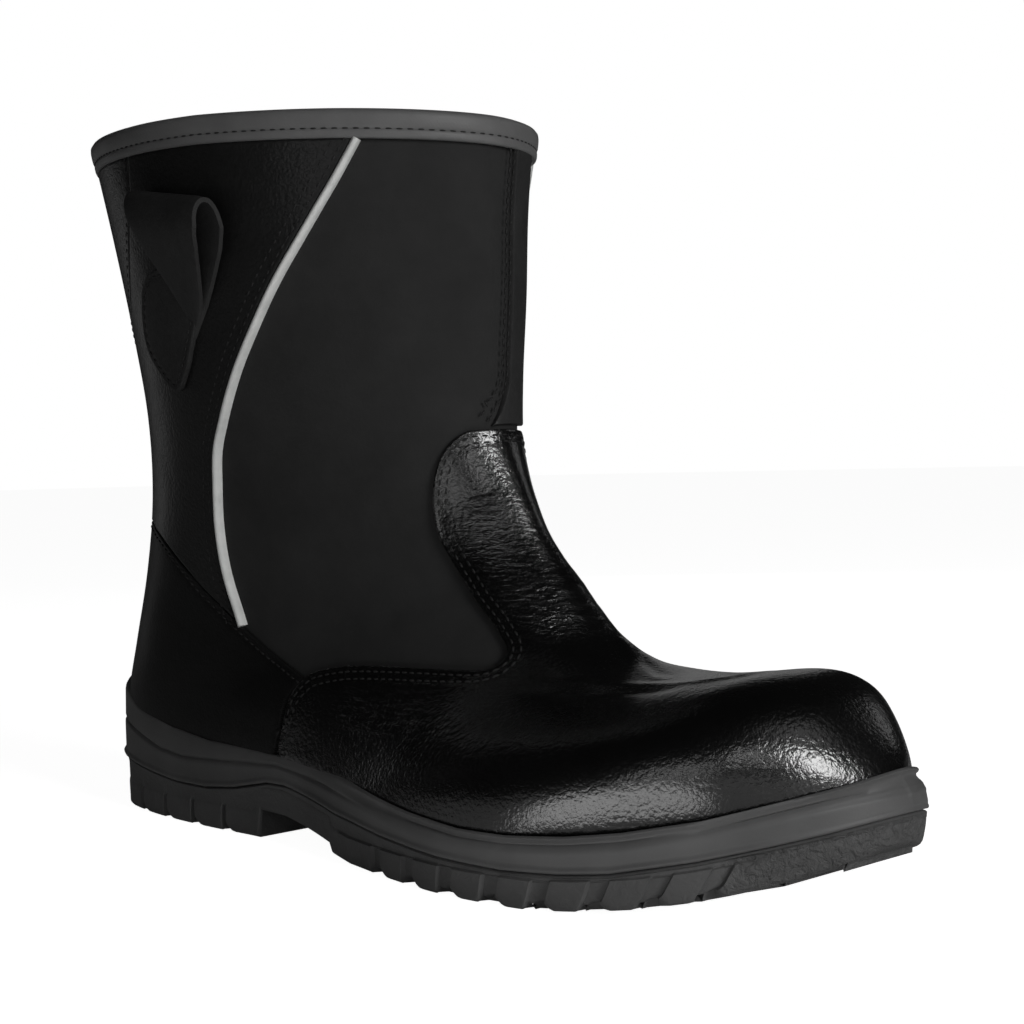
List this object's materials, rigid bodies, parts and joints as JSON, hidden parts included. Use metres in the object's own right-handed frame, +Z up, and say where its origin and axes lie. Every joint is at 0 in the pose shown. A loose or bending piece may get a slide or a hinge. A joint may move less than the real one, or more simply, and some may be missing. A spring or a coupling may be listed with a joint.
{
  "type": "pull-on safety boot",
  "caption": "Black leather pull-on work boot for the right foot, with a bulbous toe, a lugged sole, reflective piping, a bound collar and pull loops.",
  "frame": {"origin": "middle of the bounding box seen from above, on the floor that the sole stands on", "axes": "+X from heel to toe, +Y towards the inner side of the right foot, +Z up"},
  "size_m": [0.3108, 0.1402, 0.2162],
  "materials": {
    "rubber_outsole": "matt moulded rubber",
    "foam_midsole": "satin moulded foam",
    "insole_board": "matt textile",
    "nubuck": "matt nubuck with textile lining inside",
    "smooth_leather": "glossy grained leather",
    "reflective_piping": "retroreflective textile",
    "binding_tape": "satin synthetic binding",
    "loop_leather": "satin leather"
  },
  "bodies": {
    "root": {"outsole": "rubber_outsole", "midsole": "foam_midsole", "insole": "insole_board", "upper": "nubuck", "vamp": "smooth_leather", "counter": "smooth_leather", "quarter_lateral": "smooth_leather", "quarter_medial": "smooth_leather", "back_strip": "smooth_leather", "front_strip": "smooth_leather", "piping_lateral": "reflective_piping", "piping_medial": "reflective_piping", "collar_binding": "binding_tape", "pull_loop_lateral": "loop_leather", "pull_loop_medial": "loop_leather"}
  },
  "joints": []
}
